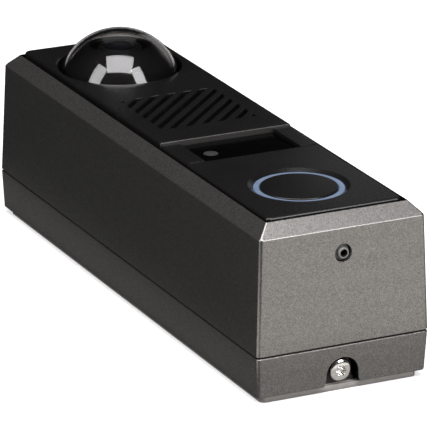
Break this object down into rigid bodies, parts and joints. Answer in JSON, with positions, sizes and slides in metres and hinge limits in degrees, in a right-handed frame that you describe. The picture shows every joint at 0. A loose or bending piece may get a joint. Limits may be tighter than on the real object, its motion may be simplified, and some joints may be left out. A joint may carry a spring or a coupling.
{
  "type": "door intercom panel",
  "caption": "Slim upright video door station for a wall: camera dome, speaker grille, sensor window, ring-lit call button, painted housing on a wall bracket.",
  "frame": {"origin": "centre of the wall bracket's back face, which lies on the wall", "axes": "+Z out of the wall towards the visitor, +Y up the panel towards the camera dome, +X across the panel"},
  "size_m": [0.06, 0.2, 0.0717],
  "materials": {
    "housing_paint": "satin metallic grey powder coat, fine speckle",
    "bracket_steel": "plain zinc-plated sheet",
    "screw_steel": "bright stainless",
    "black_cover": "satin black with a fine grain",
    "button_cap": "satin black",
    "dark_window": "gloss, nearly opaque",
    "sensor_lens": "gloss grey",
    "dome_plastic": "clear, lightly smoked polycarbonate",
    "lens_glass": "coated",
    "light_ring": "translucent, lit pale blue",
    "silicone": "matte",
    "inner_plastic": "matte moulded",
    "circuit_board": "green solder mask",
    "sensor_chip": "gloss",
    "paper_cone": "treated paper",
    "magnet": "plated",
    "connector_metal": "bright tinned shell",
    "terminal_green": "moulded"
  },
  "bodies": {
    "panel": {"board_standoff_1": "screw_steel", "board_standoff_2": "screw_steel", "board_standoff_3": "screw_steel", "board_standoff_4": "screw_steel", "button_board": "circuit_board", "button_carrier": "inner_plastic", "button_panel": "black_cover", "button_spring": "screw_steel", "cable_grommet": "silicone", "camera_board": "circuit_board", "camera_bracket": "inner_plastic", "camera_shroud": "inner_plastic", "dome_cover": "dome_plastic", "dome_retaining_ring": "inner_plastic", "dome_seal": "silicone", "front_housing": "housing_paint", "front_lens": "lens_glass", "housing_gasket": "silicone", "housing_screw_1": "screw_steel", "housing_screw_2": "screw_steel", "housing_screw_3": "screw_steel", "housing_screw_4": "screw_steel", "image_sensor": "sensor_chip", "inner_frame": "inner_plastic", "led_board": "circuit_board", "lens_barrel": "inner_plastic", "light_ring": "light_ring", "locking_screw": "screw_steel", "main_board": "circuit_board", "mic_capsule": "connector_metal", "mic_grommet": "silicone", "network_jack": "connector_metal", "panel_screw_1": "screw_steel", "panel_screw_2": "screw_steel", "panel_screw_3": "screw_steel", "panel_screw_4": "screw_steel", "panel_screw_5": "screw_steel", "panel_screw_6": "screw_steel", "panel_screw_7": "screw_steel", "panel_screw_8": "screw_steel", "rear_housing": "housing_paint", "sensor_board": "circuit_board", "sensor_lens": "sensor_lens", "sensor_window": "dark_window", "speaker_basket": "inner_plastic", "speaker_cone": "paper_cone", "speaker_magnet": "magnet", "speaker_mesh": "screw_steel", "tact_switch": "inner_plastic", "terminal_block": "terminal_green", "upper_cover": "black_cover", "wall_bracket": "bracket_steel", "window_bezel": "black_cover"},
    "button": {"call_button": "button_cap"}
  },
  "joints": [
    {"name": "call_button_press", "type": "slide", "parent": "panel", "child": "button", "axis": [0, 0, -1], "range_m": [0, 0.0008], "stiffness_N_per_m": 1500, "springref_m": -0.0004, "deforming": ["button_spring"]}
  ]
}
